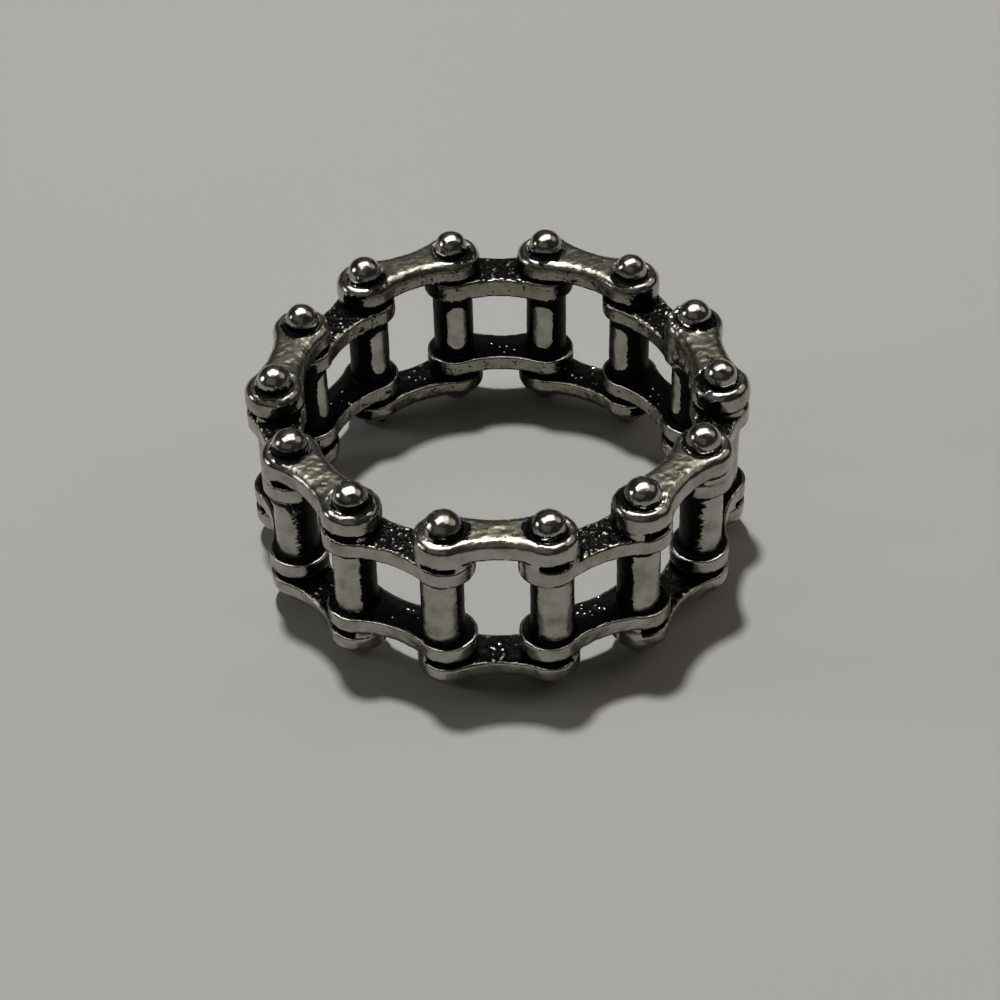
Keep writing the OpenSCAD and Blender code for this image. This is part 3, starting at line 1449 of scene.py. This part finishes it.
@dataclass(frozen=True)
class BlackenedSteel:
    """Cast steel that was blackened all over and then mopped bright where the mop reached; its maps also
    paint shade in black and in dull metal.

    Attributes:
        bright: Colour of the polished metal.
        dull: Colour of polished metal with a trace of black left in it, also laid on as painted shade on the
            walls that face the finger.
        black: Colour of the patina.
        worn_black: Colour of the patina where it is thin.
    """

    bright: tuple[float, float, float, float] = (0.42, 0.405, 0.37, 1)
    dull: tuple[float, float, float, float] = (0.24, 0.232, 0.175, 1)
    black: tuple[float, float, float, float] = (0.002, 0.002, 0.002, 1)
    worn_black: tuple[float, float, float, float] = (0.016, 0.015, 0.012, 1)

    def material(self) -> bpy.types.Material:
        """Builds the material.

        Returns:
            The finished material.
        """
        board = Board("blackened_steel")
        place = board.millimetres()
        strokes = board.millimetres(upright=3.0)
        bare, gloss, skin = (board.attribute(name) for name in ("bare", "gloss", "cast_skin_and_inner_shade"))

        ragged = board.sum("SUBTRACT", board.noise(place, 1.6, 4, 0.6), 0.5)
        brushed = board.sum("SUBTRACT", board.noise(strokes, 2.4, 4, 0.7), 0.5)
        ragged = board.sum("MULTIPLY", board.sum("ADD", ragged, brushed), 1.9)
        specks = board.sum("SUBTRACT", board.noise(place, 7.0, 2, 0.6), 0.55)
        specks = board.sum("MULTIPLY", specks, board.sum("MULTIPLY", skin, 5.0))
        ragged = board.sum("ADD", ragged, specks)
        bright = board.spread(board.sum("ADD", bare, ragged), -0.08, 0.12)

        stain = board.spread(board.noise(place, 1.1, 3, 0.5), 0.35, 0.8)
        metal = board.blend(stain, self.bright, self.dull)
        # Where the cast skin map is high the metal turns dull; on the walls that face the finger this is
        # painted shade.
        metal = board.blend(board.sum("MULTIPLY", skin, 2.2, clamp=True), metal, self.dull)
        grime = board.spread(board.noise(place, 5.0, 3, 0.7), 0.5, 0.85)
        patina = board.blend(grime, self.black, self.worn_black)
        board.link(board.blend(bright, patina, metal), board.shader.inputs["Base Color"])
        board.link(bright, board.shader.inputs["Metallic"])
        board.shader.inputs["Specular IOR Level"].default_value = 0.05

        satin = board.spread(board.noise(place, 2.0, 3, 0.6), 0.3, 0.7, -0.04, 0.04)
        metal_rough = board.sum("ADD", board.spread(gloss, 0, 1, 0.3, 0.15), satin)
        metal_rough = board.between(skin, metal_rough, 0.34)
        patina_rough = board.spread(grime, 0, 1, 0.42, 0.6)
        board.link(board.between(bright, patina_rough, metal_rough), board.shader.inputs["Roughness"])

        ripples = board.bump(board.noise(place, 1.7, 2, 0.5), 0.03, 0.5)
        grain = board.noise(place, 8.0, 3, 0.6)
        depth = board.between(bright, 0.8, 0.025)
        depth = board.between(skin, depth, 0.5)
        board.link(board.bump(grain, 0.03, depth, ripples), board.shader.inputs["Normal"])
        return board.material


@dataclass(frozen=True)
class PaleFloor:
    """The plain pale floor that the ring lies on.

    Attributes:
        span: Its width in metres.
        colour: Its colour.
    """

    span: float = 6.0
    colour: tuple[float, float, float, float] = (0.60, 0.59, 0.56, 1)

    def build(self) -> bpy.types.Object:
        """Lays the floor.

        Returns:
            The floor.
        """
        bpy.ops.object.select_all(action="DESELECT")
        bpy.ops.mesh.primitive_plane_add(size=self.span, location=(0, 0, 0))
        floor = Bench.settle()
        floor.name = "pale_floor"
        board = Board("pale_floor")
        place = board.millimetres()
        cloudy = board.noise(place, 0.02, 2, 0.5)
        worn = tuple(0.95 * part for part in self.colour[:3]) + (1,)
        board.link(board.blend(cloudy, self.colour, worn), board.shader.inputs["Base Color"])
        board.shader.inputs["Roughness"].default_value = 0.85
        floor.data.materials.append(board.material)
        return floor


@dataclass(frozen=True)
class Lamp:
    """A lamp that faces the ring.

    Attributes:
        name: Name of the lamp.
        direction: Direction from the ring to it.
        width: Its diameter in metres, or its width where it has a depth.
        power: Its power in watts.
        depth: Its depth in metres, or 0 where it is round.
        distance: From the ring, in metres.
        colour: Its tint.
        lights_floor: Whether it lights matt things, or shows in polished metal alone.
    """

    name: str
    direction: tuple[float, float, float]
    width: float
    power: float
    depth: float = 0.0
    distance: float = 0.7
    colour: tuple[float, float, float] = (1.0, 1.0, 1.0)
    lights_floor: bool = True

    def build(self) -> None:
        """Hangs the lamp at its distance, turned to the ring."""
        way = Vector(self.direction).normalized()
        bpy.ops.object.light_add(type="AREA", location=way * self.distance)
        lamp = bpy.context.object
        lamp.name = self.name
        lamp.rotation_euler = way.to_track_quat("Z", "Y").to_euler()
        lamp.data.shape = "RECTANGLE" if self.depth else "DISK"
        lamp.data.size = self.width
        lamp.data.size_y = self.depth
        lamp.data.energy = self.power
        lamp.data.color = self.colour
        lamp.visible_diffuse = self.lights_floor


@dataclass(frozen=True)
class StudioLights:
    """A lamp overhead in a bright shade, a weak lamp on the left, pale walls round it and a dim room.

    Attributes:
        lamps: The lamps.
        room: Brightness of the room.
    """

    lamps: tuple[Lamp, ...] = (
        Lamp("overhead_lamp", (-0.07, 0.20, 0.975), 0.05, 2.75),
        Lamp("lamp_shade", (-0.07, 0.20, 0.975), 0.85, 4.2, 0.5, distance=0.72, lights_floor=False),
        Lamp("left_lamp", (-0.936, 0.028, 0.353), 0.24, 0.5),
        Lamp("right_wall", (0.72, 0.224, 0.662), 0.45, 0.3, colour=(1.0, 0.88, 0.76)),
        Lamp("back_wall", (0.0, 0.76, 0.65), 0.8, 0.1, distance=0.8, lights_floor=False),
        Lamp("front_wall", (-0.3, -0.7, 0.65), 0.9, 0.16, 0.5, distance=0.8, lights_floor=False),
    )
    room: float = 0.03

    def build(self) -> None:
        """Hangs the lamps and dims the room."""
        for lamp in self.lamps:
            lamp.build()
        world = bpy.data.worlds.new("dim_room")
        world.use_nodes = True
        background = world.node_tree.nodes["Background"]
        background.inputs["Color"].default_value = (self.room, self.room, self.room * 0.9, 1)
        bpy.context.scene.world = world
        bpy.context.scene.view_settings.view_transform = "Standard"


@dataclass(frozen=True)
class PhotoCamera:
    """The camera at the photograph's angle to the ring.

    Attributes:
        lens: Focal length in millimetres.
        elevation: Angle over the floor in degrees.
        roll: Turn about its own axis in degrees.
        turn: How far the ring is turned from facing it, in degrees.
        distance: From the ring's axis at the rivet heads' level, in millimetres.
        aside: Shift to the right, in millimetres.
        raised: Shift upwards across the view, in millimetres.
        aim_level: Level over the floor that the distance is taken from, in millimetres.
    """

    lens: float = 99.26
    elevation: float = 42.387
    roll: float = -1.441
    turn: float = 1.209
    distance: float = 137.9
    aside: float = 0.156
    raised: float = -6.19
    aim_level: float = 10.415

    def build(self) -> bpy.types.Object:
        """Sets up the camera.

        Returns:
            The camera, which is the scene's own.
        """
        tilt, roll = math.radians(self.elevation), math.radians(self.roll)
        back = Vector((0, -math.cos(tilt), math.sin(tilt)))
        level_up = Vector((0, math.sin(tilt), math.cos(tilt)))
        level_right = Vector((1, 0, 0))
        right = math.cos(roll) * level_right + math.sin(roll) * level_up
        up = math.cos(roll) * level_up - math.sin(roll) * level_right
        place = back * self.distance + right * self.aside + up * self.raised
        axes = Matrix((right, up, back)).transposed()
        around = Matrix.Rotation(math.radians(self.turn), 3, "Z")
        stand = around @ place * MM + Vector((0, 0, self.aim_level * MM))
        bpy.ops.object.camera_add()
        camera = bpy.context.object
        camera.name = "photo_camera"
        camera.data.lens = self.lens
        camera.data.clip_start = 0.001
        camera.matrix_world = Matrix.Translation(stand) @ (around @ axes).to_4x4()
        bpy.context.scene.camera = camera
        return camera


@dataclass
class ChainRing:
    """The whole casting, in as many fused links as there are outer links.

    Attributes:
        sizes: The ring's sizes.
    """

    sizes: RingSizes

    def build(self) -> list[bpy.types.Object]:
        """Builds and dresses every link.

        Returns:
            The finished links, in metres.
        """
        sizes = self.sizes
        outer = LinkPlate(
            sizes, sizes.outer_plate_z, sizes.outer_plate_t, sizes.outer_edge, dished=True
        ).build()
        inner = LinkPlate(
            sizes, sizes.inner_plate_z, sizes.inner_plate_t, sizes.inner_edge, dished=False
        ).build()
        steel = BlackenedSteel().material()
        links = []
        for number in range(sizes.pin_count // 2):
            link = CastLink(sizes, number).build(outer, inner)
            PolishMap(sizes, link).write()
            self._finish(link, steel)
            links.append(link)
            LOG.info("%s: %d faces", link.name, len(link.data.polygons))
        for plate in (outer, inner):
            bpy.data.objects.remove(plate)
        return links

    def _finish(self, link: bpy.types.Object, steel: bpy.types.Material) -> None:
        """Stands the link on the floor, brings it to metres and dresses it.

        Args:
            link: The fused link in millimetres.
            steel: Its material.
        """
        Bench.pick(link)
        link.location.z = self.sizes.half_height * MM
        link.scale = (MM,) * 3
        bpy.ops.object.transform_apply(location=True, rotation=True, scale=True)
        link.data.materials.clear()
        link.data.materials.append(steel)
        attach(link, "root")
        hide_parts("band")


def main() -> None:
    """Loads the frame and builds the scene around it."""
    logging.basicConfig(level=logging.INFO, format="%(name)s: %(message)s")
    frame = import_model()
    sizes = RingSizes.from_frame(frame["record"])
    LOG.info("finger hole %.1f mm, pin circle %.2f mm", 2 * sizes.hole_r, 2 * sizes.pin_circle_r)
    ChainRing(sizes).build()
    PaleFloor().build()
    StudioLights().build()
    PhotoCamera().build()


if __name__ == "__main__":
    main()
